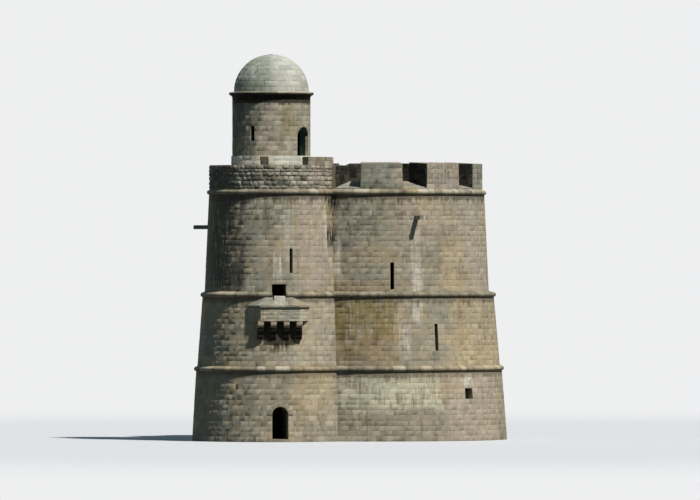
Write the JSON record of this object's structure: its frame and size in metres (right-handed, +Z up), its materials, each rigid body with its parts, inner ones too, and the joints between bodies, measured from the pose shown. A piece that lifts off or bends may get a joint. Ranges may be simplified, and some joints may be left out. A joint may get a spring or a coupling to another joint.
{
  "type": "round granite coast defence tower with stair turret",
  "caption": "Squat battered round stone tower with a stair turret, string courses, a gun parapet with splayed embrasures and a domed lookout.",
  "frame": {"origin": "axis of the main drum at ground level", "axes": "+Z up; -Y from the drum axis towards the axis of the stair turret; +X to the right seen from the turret side"},
  "size_m": [19.9998, 25.9, 28.77],
  "materials": {
    "granite": "coursed ashlar, weathered, with lichen and water streaks",
    "granite_grey": "grey weathered stone",
    "granite_pale": "dressed stone, lighter",
    "rubble": "dark rubble in lime mortar",
    "limewash": "pale limewashed stone",
    "dome_stone": "rendered stone dome, pale",
    "paving": "flagstones"
  },
  "bodies": {
    "root": {"ground_floor": "paving", "first_floor": "paving", "second_floor": "paving", "platform_vault": "granite_grey", "platform_paving": "paving", "base_wall_right_front": "granite", "base_wall_right_back": "granite", "base_wall_left_back": "granite", "base_wall_left_front": "granite", "middle_wall_right_front": "granite", "middle_wall_right_back": "granite", "middle_wall_left_back": "granite", "middle_wall_left_front": "granite", "upper_wall_right_front": "granite", "upper_wall_right_back": "granite", "upper_wall_left_back": "granite", "upper_wall_left_front": "granite", "lower_string": "granite_pale", "middle_string": "granite_pale", "top_string": "granite_pale", "merlons_right": "granite", "merlons_left": "granite", "embrasure_sills": "granite_pale", "turret_base_right": "granite", "turret_base_left": "granite", "turret_middle_right": "granite", "turret_middle_left": "granite", "turret_upper_right": "granite", "turret_upper_left": "granite", "turret_head_right": "rubble", "turret_head_left": "rubble", "turret_terrace": "rubble", "terrace_guard": "granite_pale", "lookout_plinth": "limewash", "lookout_wall_door": "granite_grey", "lookout_wall_back": "granite_grey", "lookout_wall_front": "granite_grey", "lookout_cornice": "granite_pale", "lookout_dome": "dome_stone", "box_corbels": "granite_pale", "box_wall": "granite_grey", "box_roof": "granite_pale", "water_spouts": "granite_pale"}
  },
  "joints": []
}
